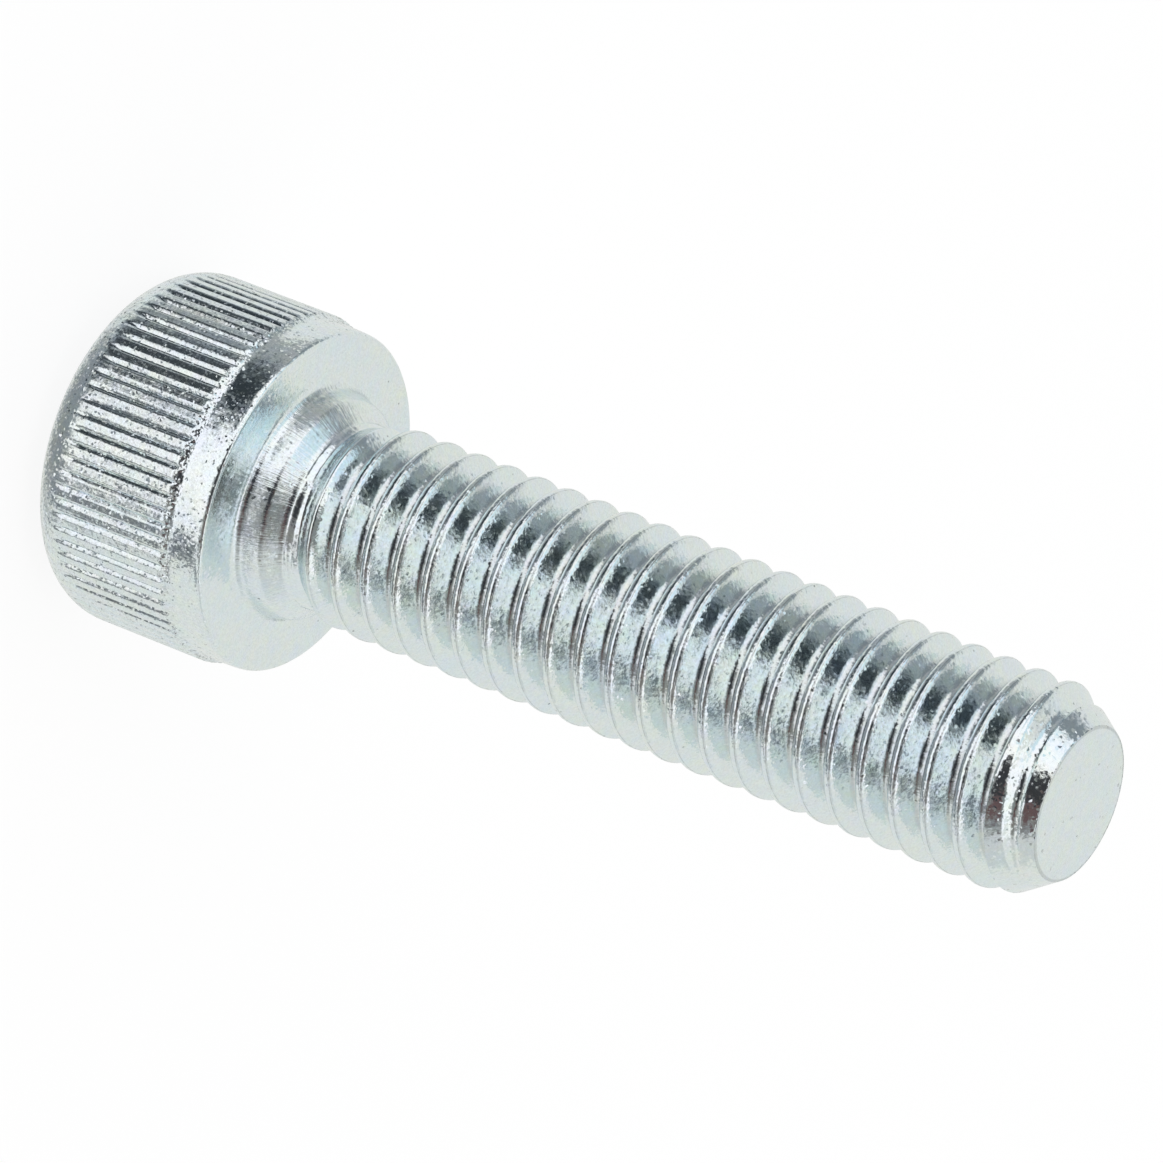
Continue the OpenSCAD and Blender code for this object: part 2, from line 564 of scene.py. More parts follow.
@dataclass
class Head:
    """The knurled cylinder head, from the driving face to the bearing face."""

    diameter: float = 10.1
    edge_h: float = 1.35
    edge_inset: float = 1.5
    edge_steps: int = 13
    knurl_count: int = 76
    knurl_turn: float = 4.3
    knurl_depth: float = 0.073
    knurl_end: float = 4.82
    groove_half: float = 0.101
    fade_start: float = 1.0
    fade_end: float = 1.56
    # Degrees from the start of a ridge to each of its columns
    ridge_steps: tuple[float, ...] = (0.0, 0.62, 1.2, 1.42, 2.368, 3.317, 3.537, 4.117)
    # Heights of the rings between the rounded edge and the knurl's end
    side: Pair = (2.6, 3.7)
    # Height and radius of the rings on the chamfer that ends the knurl
    chamfer: tuple[Pair, ...] = (
        (4.66, 5.08),
        (4.74, 5.062),
        (4.78, 5.035),
        (4.82, 5.012),
        (4.86, 4.988),
        (4.9, 4.964),
        (4.94, 4.944),
        (4.98, 4.93),
        (5.04, 4.919),
        (5.12, 4.914),
    )
    # Height and radius of the rings on the plain band and round its rim
    band: tuple[Pair, ...] = (
        (5.3, 4.91),
        (5.6, 4.902),
        (5.82, 4.89),
        (5.91, 4.878),
        (5.955, 4.858),
        (5.985, 4.832),
        (6.0, 4.79),
    )
    # How much the grooves' depths differ, and the least and most of the full depth
    uneven: float = 0.64
    uneven_range: Pair = (0.7, 1.05)
    uneven_waves: Pair = (40.0, 0.35)
    # How far the knurl's end wanders up and down, and how far from it that is felt
    ragged: float = 0.18
    ragged_reach: float = 0.45
    ragged_waves: Pair = (24.0, 6.0)

    def edge(self) -> list[Pair]:
        """Lays out the rounded edge at the driving face.

        Returns:
            Height and radius of its rings, from the driving face up.
        """
        turns = [math.radians(90 * i / self.edge_steps) for i in range(self.edge_steps + 1)]
        inner = self.diameter / 2 - self.edge_inset
        return [
            (self.edge_h * (1 - math.cos(t)), inner + self.edge_inset * math.sin(t)) for t in turns
        ]

    def columns(self) -> list[float]:
        """Angles in radians of the columns, the same few steps for every ridge."""
        starts = [self.knurl_turn + 360 / self.knurl_count * k for k in range(self.knurl_count)]
        return [math.radians(start + step) for start in starts for step in self.ridge_steps]

    def rings(self) -> list[tuple[float, float, float, float]]:
        """Lays out the head's rings.

        Returns:
            Height, radius, radius that the grooves are cut from, and share of the
            grooves' depth for each ring.
        """
        radius = self.diameter / 2
        faded = [
            (z, shell, shell, smooth(z, self.fade_start, self.fade_end))
            for z, shell in (*self.edge(), (self.fade_end, radius))
        ]
        side = [(z, radius) for z in self.side]
        cut = [(z, shell, radius, 1.0) for z, shell in (*side, *self.chamfer)]
        return [*faded, *cut, *((z, shell, shell, 0.0) for z, shell in self.band)]

    def lattice(self) -> Lattice:
        """The side of the head as rings of points between its two faces.

        Returns:
            A lattice that stores each point's place and how the grooves cut it.
        """
        made = Lattice()
        angles = self.columns()
        rings = [
            [made.point(angle=a, height=z, shell=r, cut_from=cut_from, share=share) for a in angles]
            for z, r, cut_from, share in self.rings()
        ]
        for lower, upper in zip(rings, rings[1:]):
            made.faces += band_of(lower, upper)
        return made

    def rule(self, material: bpy.types.Material) -> RuleTree:
        """The tree that cuts the knurl's grooves into the rings.

        Args:
            material: What the head is dressed in.

        Returns:
            The finished tree.
        """
        sizes = {
            "Ridges": self.knurl_count,
            "Turn": math.radians(self.knurl_turn),
            "Groove depth": self.knurl_depth,
            "Groove half width": self.groove_half,
            "Head radius": self.diameter / 2,
            "Unevenness": self.uneven,
            "Raggedness": self.ragged,
            "Ragged reach": self.ragged_reach,
            "Knurl end": self.knurl_end,
            "Depth seed": 70.0,
            "Ragged seed": 7.0,
        }
        rule = RuleTree("knurl_rule", sizes, material)
        size, stored = rule.size, rule.stored
        angle, height = stored("angle"), stored("height")
        cycle = (angle - size("Turn")) * size("Ridges") / math.tau + 0.5
        ridge = cycle.floor()
        off = (cycle - ridge - 0.5).unsigned() * math.tau / size("Ridges") * size("Head radius")
        turn = ridge / size("Ridges") * math.tau
        chance = rule.noise(turn, height, self.uneven_waves, size("Depth seed"))
        uneven = (chance * size("Unevenness") + 1.0).held(*self.uneven_range)
        wall = 1.0 - (off / size("Groove half width")).held(0.0, 1.0)
        cut = wall * size("Groove depth") * uneven * stored("share")
        radius = stored("shell").low(stored("cut_from") - cut)
        away = ((height - size("Knurl end")).unsigned() / size("Ragged reach")).held(0.0, 1.0)
        chance = rule.noise(angle, height, self.ragged_waves, size("Ragged seed"), detail=1.0)
        rule.close(angle, radius, height + chance * size("Raggedness") * (1.0 - away))
        return rule


@dataclass
class Socket:
    """The hex socket in the driving face, with its chamfer and the cone at its end."""

    flats: float = 5.0
    depth: float = 3.0
    turn: float = 30.0
    chamfer: float = 0.12
    columns: int = 120
    # Radius of the rings on the cone, and their rise above the flats' depth
    cone: tuple[Pair, ...] = ((2.4625, 0.015), (1.25, 0.3025), (0.4, 0.55))

    def build(self, shell: Shell, slot: int) -> list[int]:
        """Adds the socket's walls.

        Args:
            shell: The mesh data to add to.
            slot: Material slot of its faces.

        Returns:
            Indices of the ring of points at the mouth, at height 0.
        """
        turn, side = math.radians(self.turn), math.tau / 6
        angles = [math.tau * i / self.columns + turn for i in range(self.columns)]
        reach = [self.flats / 2 / math.cos((a - turn) % side - side / 2) for a in angles]
        mouth_r = self.flats / 2 / math.cos(side / 2) + self.chamfer
        rings = [
            shell.ring(mouth_r, 0.0, angles),
            shell.loop([(r, mouth_r - r, a) for r, a in zip(reach, angles)]),
            shell.loop([(r, self.depth, a) for r, a in zip(reach, angles)]),
            *(shell.ring(radius, self.depth + rise, angles) for radius, rise in self.cone),
        ]
        for lower, upper in zip(rings, rings[1:]):
            shell.quads(upper, lower, slot)
        shell.fan(rings[-1], self.depth + self.cone[-1][1], slot, upward=False)
        return rings[0]


@dataclass
class Neck:
    """The bearing face, its fillet and the two steps of the neck below the thread."""

    face_z: float = 6.0
    # Radius of the rings, and their rise above the bearing face
    profile: tuple[Pair, ...] = (
        (4.72, 0.0),
        (4.2, 0.0),
        (3.62, 0.0),
        (3.52, 0.012),
        (3.42, 0.05),
        (3.345, 0.115),
        (3.3, 0.2),
        (3.272, 0.3),
        (3.238, 0.42),
        (3.2, 0.54),
        (3.162, 0.65),
        (3.142, 0.7),
        (3.108, 0.745),
        (3.06, 0.795),
        (2.965, 0.885),
        (2.87, 0.975),
        (2.79, 1.05),
        (2.742, 1.1),
        (2.712, 1.145),
    )

    def build(self, shell: Shell, angles: list[float], slot: int) -> tuple[list[int], list[int]]:
        """Adds the neck's rings.

        Args:
            shell: The mesh data to add to.
            angles: Angles of the columns, in radians.
            slot: Material slot of its faces.

        Returns:
            The outermost ring on the bearing face, and the last one at the thread's foot.
        """
        rings = [shell.ring(radius, self.face_z + rise, angles) for radius, rise in self.profile]
        for outer, inner in zip(rings, rings[1:]):
            shell.quads(outer, inner, slot)
        return rings[0], rings[-1]


@dataclass(frozen=True)
class Row:
    """How one row of points in the thread takes its height and radius.

    The height is measured from the middle of a crest. It is made of shares of
    the way to that crest's edge towards the head, to its edge towards the tip
    and to the next crest's edge towards the head, and of a fixed offset.
    """

    head: float = 0.0
    tip: float = 0.0
    following: float = 0.0
    offset: float = 0.0
    # How far the radius lies below the crest's
    drop: float = 0.0
    # 1 in the root, where the flanks don't limit the radius
    root: float = 0.0
    # Share of the crest's wear
    worn: float = 0.0


@dataclass
class Thread:
    """The rolled thread with its run-out at the neck and the turned point at the tip."""

    diameter: float = 6.0
    pitch: float = 1.0
    flank_angle: float = 30.0
    crest_allowance: float = 0.05
    turn: float = 42.0
    columns: int = 128
    foot_z: float = 7.2
    foot_r: float = 2.685
    blank_r: float = 2.6
    first_crest_z: float = 6.27
    turns_to_spare: float = 1.2
    start_z: float = 7.44
    runout_h: float = 1.05
    # The run-out's smooth rise starts so far ahead of it, and its foot is left in the neck
    runout_lead: float = 0.35
    runout_foot: float = 0.17
    tip_z: float = 31.0
    tip_r: float = 2.147
    point_slope: float = 0.669
    edge_z: float = 30.975
    end_z: float = 30.62
    depth: float = 0.6
    # Middle and radius of the crest's rounds, towards the head and towards the tip
    crest_mid: float = 0.012
    crest_rounds: Pair = (0.179, 0.137)
    crest_tilts: tuple[float, ...] = (-60.0, -42.0, -22.0, -4.0, 10.0, 24.0, 36.0, 48.0, 60.0)
    root_mid: float = 0.5821
    root_round: float = 0.25
    root_tilts: tuple[float, ...] = (60.0, 48.0, 37.0, 26.0, 15.0, 4.5)
    flank_shares: Pair = (0.14, 0.88)
    # Share of a flank that a cut crest may take over, and the least flank left of it
    widest_crest: float = 0.8
    least_flank: float = 0.01
    crest_dip: float = 0.004
    crest_wear: float = 0.02
    deepest_wear: float = -0.25
    wear_waves: Pair = (21.0, 4.0)

    @property
    def crest_r(self) -> float:
        """Radius of the crests."""
        return self.diameter / 2 - self.crest_allowance

    @property
    def cot(self) -> float:
        """How much a flank rises for each millimetre along the axis."""
        return 1 / math.tan(math.radians(self.flank_angle))

    @property
    def turns(self) -> int:
        """Turns of the helix, with enough to spare past the tip."""
        climb = self.end_z - self.first_crest_z
        return math.ceil(climb / self.pitch + self.turns_to_spare)

    @property
    def head_edge(self) -> float:
        """Height of the crest's edge towards the head, from its middle."""
        return self.on_crest(self.crest_tilts[0])[0]

    @property
    def tip_edge(self) -> float:
        """Height of the crest's edge towards the tip, from its middle."""
        return self.on_crest(self.crest_tilts[-1])[0]

    def angles(self) -> list[float]:
        """Angles in radians of the columns."""
        turn = math.radians(self.turn)
        return [math.tau * c / self.columns + turn for c in range(self.columns)]

    def on_crest(self, tilt: float) -> Pair:
        """Height past the crest's middle and drop below its top, at a tilt towards the tip."""
        angle, radius = math.radians(tilt), self.crest_rounds[tilt > 0]
        return self.crest_mid + radius * math.sin(angle), radius * (1 - math.cos(angle))

    def in_root(self, tilt: float) -> Pair:
        """Height past the crest's middle and rise above the root, at a tilt towards the tip."""
        angle, radius = math.radians(tilt), self.root_round
        return self.root_mid - radius * math.sin(angle), radius * (1 - math.cos(angle))

    def rows(self) -> list[Row]:
        """Lays out one turn's rows, from a crest's edge to the next crest.

        Returns:
            The rows of the crest, its flank, the root and the next flank.
        """
        head, tip = self.head_edge, self.tip_edge
        root = [self.in_root(tilt) for tilt in self.root_tilts]
        made = []
        for z, drop in map(self.on_crest, self.crest_tilts):
            share = (z - head) / (tip - head)
            made.append(Row(head=1 - share, tip=share, drop=drop, worn=math.sin(math.pi * share)))
        for share in self.flank_shares:
            made.append(Row(tip=1 - share, offset=share * root[0][0]))
        for z, rise in root:
            made.append(Row(offset=z, drop=self.depth - rise, root=1.0))
        for share in self.flank_shares[::-1]:
            made.append(Row(following=1 - share, offset=share * root[-1][0]))
        return made

    def lattice(self) -> tuple[Lattice, list[int], list[int]]:
        """Columns round the axis by rows that climb with the helix, as one net that closes.

        Returns:
            The lattice, and the points at its foot and at its top.
        """
        made, rows = Lattice(), [asdict(row) for row in self.rows()]
        per_turn, last = len(rows), len(rows) * self.turns
        net = []
        for c, angle in enumerate(self.angles()):
            place = {"angle": angle, "climb": c / self.columns}
            column = [
                made.point(**place, turns=float(r // per_turn), **rows[r % per_turn])
                for r in range(last + 1)
            ]
            net.append(column)
        for left, right in zip(net, net[1:]):
            made.faces += zip(left, right, right[1:], left[1:])
        # Where the last column meets the first, a row joins the one a pitch on
        end, start = net[-1], net[0]
        made.faces += zip(end, start[per_turn:], start[per_turn + 1 :], end[1:])
        made.faces += [(end[0], start[r], start[r + 1]) for r in range(per_turn)]
        made.faces += [(end[r], start[last], end[r + 1]) for r in range(last - per_turn, last)]
        return made, [column[0] for column in net], [column[last] for column in net]

    def cone(self, rule: RuleTree, z: Wire) -> Wire:
        """Radius of the point's cone at a height."""
        return rule.size("Tip radius") + (rule.size("Tip height") - z) * rule.size("Point slope")

    def to_head(self, rule: RuleTree, middle: Wire) -> Wire:
        """Finds a crest's edge towards the head, which the point's cone moves outward.

        Args:
            rule: The tree to add to.
            middle: Height of the crest's middle.

        Returns:
            The edge's height from the middle.
        """
        most = self.depth / self.cot * self.widest_crest
        cut = rule.size("Crest radius") - self.cone(rule, middle - rule.size("Crest half width"))
        extra = cut / (rule.size("Point slope") + self.cot)
        return self.head_edge - extra.held(0.0, most)

    def to_tip(self, rule: RuleTree, middle: Wire) -> Wire:
        """Finds a crest's edge towards the tip, which the point's cone moves outward.

        Args:
            rule: The tree to add to.
            middle: Height of the crest's middle.

        Returns:
            The edge's height from the middle.
        """
        most = self.depth / self.cot * self.widest_crest
        root_start, _ = self.in_root(self.root_tilts[0])
        most = min(most, root_start - self.tip_edge - self.least_flank)
        cut = rule.size("Crest radius") - self.cone(rule, middle + rule.size("Crest half width"))
        extra = cut / (self.cot - rule.size("Point slope"))
        return extra.held(0.0, most) + self.tip_edge

    def rule(self, material: bpy.types.Material) -> RuleTree:
        """The tree that winds the profile up the shank and turns the point.

        Args:
            material: What the thread is dressed in.

        Returns:
            The finished tree.
        """
        sizes = {
            "Pitch": self.pitch,
            "Crest radius": self.crest_r,
            "Crest half width": self.pitch / 16 + self.crest_allowance / self.cot,
            "First crest height": self.first_crest_z,
            "Turns": self.turns,
            "Foot height": self.foot_z,
            "Foot radius": self.foot_r,
            "Blank radius": self.blank_r,
            "Start height": self.start_z,
            "Run-out height": self.runout_h,
            "End height": self.end_z,
            "Edge height": self.edge_z,
            "Tip height": self.tip_z,
            "Tip radius": self.tip_r,
            "Point slope": self.point_slope,
            "Crest dip": self.crest_dip,
            "Crest wear": self.crest_wear,
            "Wear seed": 30.0,
        }
        rule = RuleTree("thread_rule", sizes, material)
        size, stored = rule.size, rule.stored
        crest_r, pitch = size("Crest radius"), size("Pitch")
        foot, start, end = size("Foot height"), size("Start height"), size("End height")

        first_middle = size("First crest height") + pitch * stored("climb")
        last_middle = first_middle + pitch * size("Turns")
        middle = first_middle + pitch * stored("turns")
        to_head, to_tip = self.to_head(rule, middle), self.to_tip(rule, middle)
        following = (self.to_head(rule, middle + pitch) + pitch) * stored("following")
        free = middle + to_head * stored("head") + to_tip * stored("tip") + following
        free = free + stored("offset")

        # In a plain zone at either end, the rows are pressed together until they lie flat
        first, last = (m + self.to_head(rule, m) for m in (first_middle, last_middle))
        squeezed = foot + (start - foot) * (free - first) / (start - first)
        pressed = (free - end) / (last - end) * (size("Edge height") - end) + end
        on_point = (free - end).above(0.0)
        z = on_point.blend((start - free).above(0.0).blend(free, squeezed), pressed)

        apart = (z - middle).unsigned().low((z - middle - pitch).unsigned())
        free_of_flank = (stored("root") + on_point) * OUT_OF_PLAY
        flank = crest_r - (apart - size("Crest half width")) * self.cot + free_of_flank
        chance = rule.noise(stored("angle"), z, self.wear_waves, size("Wear seed"), rough=0.6)
        wear = chance.high(self.deepest_wear) * size("Crest wear") + size("Crest dip")
        full = crest_r - stored("drop") + on_point * OUT_OF_PLAY
        full = full.low(flank) - wear * stored("worn")
        blank = ((z - foot) / (start - foot)).ease(0.0, 1.0)
        blank = blank.blend(size("Foot radius"), size("Blank radius"))
        risen = ((z - start) / size("Run-out height")).ease(-self.runout_lead, 1.0)
        risen = ((risen - self.runout_foot) / (1 - self.runout_foot)).held(0.0, 1.0)
        radius = risen.blend(blank, full).low(crest_r).low(self.cone(rule, z))
        rule.close(stored("angle"), radius, z)
        return rule


@dataclass
class EndFace:
    """The flat end face at the tip and its edge."""

    # Radius and height of the rings
    rings: tuple[Pair, ...] = ((2.152, 30.99), (2.128, 31.0), (1.9, 31.0), (1.1, 31.0))

    def build(self, shell: Shell, rim: list[int], angles: list[float], slot: int) -> None:
        """Closes the thread's last ring with the end face.

        Args:
            shell: The mesh data to add to.
            rim: The thread's last ring.
            angles: Angles of the ring's points, in radians.
            slot: Material slot of the faces.
        """
        before = rim
        for radius, height in self.rings:
            ring = shell.ring(radius, height, angles)
            shell.quads(before, ring, slot)
            before = ring
        shell.fan(before, self.rings[-1][1], slot, upward=True)


@dataclass(frozen=True)
class Spot:
    """A place on the screw, in millimetres, as wires of a material's tree."""

    tree: bpy.types.NodeTree
    place: Wire
    x: Wire
    y: Wire
    z: Wire
    radius: Wire

    def noise(self, waves: float, detail: float = 2.0, rough: float = 0.5) -> Wire:
        """Noise about 0 with so many waves to a millimetre."""
        return noise_of(self.tree, self.place, waves, detail, rough)

    def stretched(self, across: float, along: float) -> Wire:
        """Noise with other waves to a millimetre across the axis than along it."""
        place = vector_of(self.tree, self.x * across, self.y * across, self.z * along)
        return noise_of(self.tree, place, 1.0, rough=0.6)

    def band(self, start: Pair, end: Pair) -> Wire:
        """1 between two heights, eased from start's first to its second and out over end's."""
        return self.z.ease(*start) * (1.0 - self.z.ease(*end))


@dataclass(frozen=True)
class ZincPlate:
    """Blue-white passivated zinc on steel.

    Heights are in millimetres, and scales in waves or cells to a millimetre.
    """

    finish: Finish
    colour: Colour = (0.785, 0.86, 0.872)
    roughness: float = 0.1
    # What a full wave of the warm and the cool stain adds to the colour
    warm: Colour = (0.12, 0.048, -0.168)
    cool: Colour = (0.06, -0.072, 0.096)
    stain_waves: Pair = (3.1, 0.6)
    broad_stain: float = 0.6
    cool_waves: float = 2.3
    grain: float = 0.003
    grain_waves: float = 11.0
    grain_haze: float = 0.12
    peel: float = 0.012
    peel_waves: float = 1.7
    pit: float = 0.012
    pits_per_mm: float = 2.1
    pit_edge: Pair = (0.02, 0.1)
    pit_waves: float = 1.3
    pit_patches: Pair = (-0.02, 0.08)
    pit_shade: float = 0.5
    # How far the plate's grains tilt: most a little, a few far enough to glint
    facet: float = 0.16
    facets_per_mm: float = 13.0
    facet_least: float = 0.42
    glint: float = 1.7
    glint_power: float = 6.0
    # How much the shade of the finest grains differs
    mottle: float = 0.16
    mottles_per_facet: float = 1.5
    dull_haze: float = 0.2

    def spot(self, tree: bpy.types.NodeTree) -> Spot:
        """Reads the place on the screw from its object coordinates.

        Args:
            tree: The material's tree.

        Returns:
            The place, in millimetres, with its radius from the axis.
        """
        coordinates = Wire(tree, tree.nodes.new("ShaderNodeTexCoord").outputs["Object"])
        place = vector_math(tree, "SCALE", coordinates, 1 / MM)
        split = node_of(tree, "ShaderNodeSeparateXYZ", Vector=place)
        x, y, z = (Wire(tree, split.outputs[i]) for i in range(3))
        return Spot(tree, place, x, y, z, (x * x + y * y).power(0.5).high(0.05))

    def marks(self, at: Spot) -> tuple[Wire | float, Wire | float]:
        """The height and the dullness that this way of forming adds; dullness darkens the colour,
        and on the thread it is partly painted shade.
        """
        return 0.0, 0.0

    def coarseness(self, at: Spot) -> Wire | float:
        """How many times further than usual the grains tilt."""
        return 1.0

    def haze(self, at: Spot) -> Wire | float:
        """How much rougher than usual the surface is."""
        return 0.0

    def material(self) -> bpy.types.Material:
        """Builds the material.

        Returns:
            A metallic material with bump, roughness and colour from nodes.
        """
        made = bpy.data.materials.new(self.finish.value)
        made.use_nodes = True
        tree = made.node_tree
        shader = tree.nodes["Principled BSDF"]
        at = self.spot(tree)
        added, dullness_and_shade = self.marks(at)

        grain = at.noise(self.grain_waves, detail=3.0, rough=0.6)
        peel = at.noise(self.peel_waves, detail=1.0)
        pit = self.pits(at)
        height = grain * self.grain + peel * self.peel + pit * -self.pit + added
        bump = node_of(tree, "ShaderNodeBump", Height=height, Distance=MM, Strength=1.0)
        feed(tree, shader.inputs["Normal"], self.crystals(at, Wire(tree, bump.outputs[0])))

        _, luck = cells_of(tree, at.place, self.facets_per_mm * self.mottles_per_facet)
        # Pits, random mottle and the marks' dullness darken the colour; on the thread that dullness
        # holds painted shade
        shade = (1.0 - pit * self.pit_shade - (luck - 0.5) * self.mottle) * (1.0 - dullness_and_shade)
        feed(tree, shader.inputs["Base Color"], self.stained(at, shade))
        shader.inputs["Metallic"].default_value = 1.0
        rough = grain * self.grain_haze + (pit + dullness_and_shade) * self.dull_haze + self.haze(at)
        feed(tree, shader.inputs["Roughness"], rough + self.roughness)
        return made

    def pits(self, at: Spot) -> Wire:
        """Scatters small round pits, thicker in some places than in others.

        Args:
            at: The place on the screw.

        Returns:
            A number from 0 to 1, the depth of the pit.
        """
        cells = node_of(at.tree, "ShaderNodeTexVoronoi", Vector=at.place, Scale=self.pits_per_mm)
        pit = 1.0 - Wire(at.tree, cells.outputs["Distance"]).ease(*self.pit_edge)
        return pit * at.noise(self.pit_waves, detail=1.0).ease(*self.pit_patches)

    def stained(self, at: Spot, shade: Wire) -> Wire:
        """Colours the plate with faint warm and cool stains.

        Args:
            at: The place on the screw.
            shade: What the colour is multiplied by.

        Returns:
            The colour.
        """
        tree = at.tree
        fine, broad = self.stain_waves
        warm = at.noise(fine, detail=3.0, rough=0.7)
        warm = warm + at.noise(broad, detail=1.0) * self.broad_stain
        elsewhere = vector_of(tree, at.y, at.z, at.x)
        cool = noise_of(tree, elsewhere, self.cool_waves, detail=3.0, rough=0.7)
        red, green, blue = (
            (warm * warm_share + cool * cool_share + plain) * shade
            for plain, warm_share, cool_share in zip(self.colour, self.warm, self.cool)
        )
        colour = node_of(tree, "ShaderNodeCombineColor", Red=red, Green=green, Blue=blue)
        return Wire(tree, colour.outputs[0])

    def crystals(self, at: Spot, normal: Wire) -> Wire:
        """Tilts the surface a little in small random grains, a few of them far enough to glint.

        Args:
            at: The place on the screw.
            normal: The surface's direction before.

        Returns:
            The direction with the grains' tilt.
        """
        tree = at.tree
        random, luck = cells_of(tree, at.place, self.facets_per_mm)
        way = vector_math(tree, "SUBTRACT", random, (0.5, 0.5, 0.5))
        amount = (luck.power(self.glint_power) * self.glint + self.facet_least) * self.facet
        tilt = vector_math(tree, "SCALE", way, amount * self.coarseness(at))
        return vector_math(tree, "NORMALIZE", vector_math(tree, "ADD", normal, tilt))


@dataclass(frozen=True)
class ForgedZinc(ZincPlate):
    """The plate on the forged and knurled head, with fine lines along the knurl."""

    lines: float = 0.009
    line_waves: Pair = (5.5, 0.25)
    side_r: Pair = (4.84, 4.95)
    land_r: Pair = (5.0, 5.03)
    land_haze: float = 0.09
    # Heights between which the knurl's end is torn, each with its soft edge
    torn_start: Pair = (4.73, 4.77)
    torn_end: Pair = (4.97, 5.01)
    torn: float = 2.1
    edge_start: Pair = (0.01, 0.06)
    edge_end: Pair = (0.9, 1.4)
    edge_coarse: float = 1.5
    land_end: Pair = (4.76, 4.86)

    def marks(self, at: Spot) -> tuple[Wire | float, Wire | float]:
        """Fine lines up the head's side."""
        side = at.radius.ease(*self.side_r)
        return at.stretched(*self.line_waves) * side * self.lines, 0.0

    def coarseness(self, at: Spot) -> Wire | float:
        """The knurl's end and the rounded edge are rougher than the rest."""
        edge = at.band(self.edge_start, self.edge_end) * self.edge_coarse
        return at.band(self.torn_start, self.torn_end) * self.torn + edge + 1.0

    def haze(self, at: Spot) -> Wire | float:
        """The knurl's lands are hazier than its grooves."""
        below_end = 1.0 - at.z.ease(*self.land_end)
        return at.radius.ease(*self.land_r) * below_end * self.land_haze


@dataclass(frozen=True)
class DrawnZinc(ZincPlate):
    """The plate on the neck and the bearing face, with streaks that run along the metal's flow."""

    streak: float = 0.013
    # Waves of streaks to a radian round the axis, and to a millimetre along it
    streak_waves: Pair = (260.0 / 6.0, 0.9)
    face_r: Pair = (3.4, 3.7)
    face_less: float = 0.6

    def marks(self, at: Spot) -> tuple[Wire | float, Wire | float]:
        """Streaks up the neck, which fade on the bearing face.

        Args:
            at: The place on the screw.

        Returns:
            The height and the dullness that the streaks add.
        """
        around, along = self.streak_waves
        x, y = at.x / at.radius * around, at.y / at.radius * around
        place = vector_of(at.tree, x, y, at.z * along)
        streaks = noise_of(at.tree, place, 1.0, detail=3.0, rough=0.65)
        strength = (1.0 - at.radius.ease(*self.face_r) * self.face_less) * self.streak
        return streaks * strength, 0.0


@dataclass(frozen=True)
class RolledZinc(ZincPlate):
    """The plate on the thread: a seam along the crest, beads beside it, a rough rim at the tip, and
    painted shade darkening the seam and the thread's root.
    """

    crest_r: Pair = (2.84, 2.92)
    bead_waves: float = 6.0
    beads: float = 0.014
    rim_beads: float = 0.045
    # Height of the seam where its turns cross the x axis, as a share of the pitch
    seam_z: float = 0.233
    seam_edge: Pair = (0.0044, 0.022)
    seam_depth: float = 0.006
    # How much painted shade darkens the seam's colour in its crease; the same share roughens it
    seam_painted_shade: float = 0.22
    seam_waves: float = 4.5
    seam_gaps: Pair = (-0.14, 0.08)
    seam_least: float = 0.4
    rim_z: Pair = (30.955, 30.975)
    rim_r: Pair = (2.06, 2.11)
    rim_dull: float = 0.22
    # Where the thread's root is darkened with painted shade, and how much
    root_r: Pair = (2.36, 2.5)
    root_end: Pair = (29.9, 30.2)
    root_painted_shade: float = 0.15
    streak: float = 0.009
    streak_waves: Pair = (8.0, 0.9)
    # Where the turned point starts, what it takes from the streaks and adds to the tilts
    point_z: Pair = (29.75, 30.05)
    point_less: float = 0.7
    point_coarse: float = 1.1

    def marks(self, at: Spot) -> tuple[Wire | float, Wire | float]:
        """The seam, the beads, the rim and the painted shade in the root.

        Args:
            at: The place on the screw.

        Returns:
            The height, and the dullness that they add: painted shade in the seam and the root, and
            a duller rim.
        """
        crest = at.radius.ease(*self.crest_r)
        climb = at.z - at.y.angle_from(at.x) / math.tau - (self.seam_z - 0.5)
        off = (climb - climb.floor() - 0.5).unsigned()
        seam = (1.0 - off.ease(*self.seam_edge)) * crest
        gaps = at.noise(self.seam_waves).ease(*self.seam_gaps)
        seam = seam * (gaps * (1 - self.seam_least) + self.seam_least)
        rim = at.z.ease(*self.rim_z) * at.radius.ease(*self.rim_r)
        beads = crest * self.beads + rim * self.rim_beads
        beads = at.noise(self.bead_waves, detail=1.0) * beads
        # The thread's root, which painted shade darkens up to near the point
        root = (1.0 - at.radius.ease(*self.root_r)) * (1.0 - at.z.ease(*self.root_end))
        streaks = at.stretched(*self.streak_waves)
        streaks = streaks * (1.0 - at.z.ease(*self.point_z) * self.point_less) * self.streak
        # Painted shade darkens the seam and the root; the rim is duller
        dullness_and_shade = (seam * self.seam_painted_shade).high(rim * self.rim_dull).high(root * self.root_painted_shade)
        return beads - seam * self.seam_depth + streaks, dullness_and_shade

    def coarseness(self, at: Spot) -> Wire | float:
        """The turned point is rougher than the thread."""
        return at.z.ease(*self.point_z) * self.point_coarse + 1.0


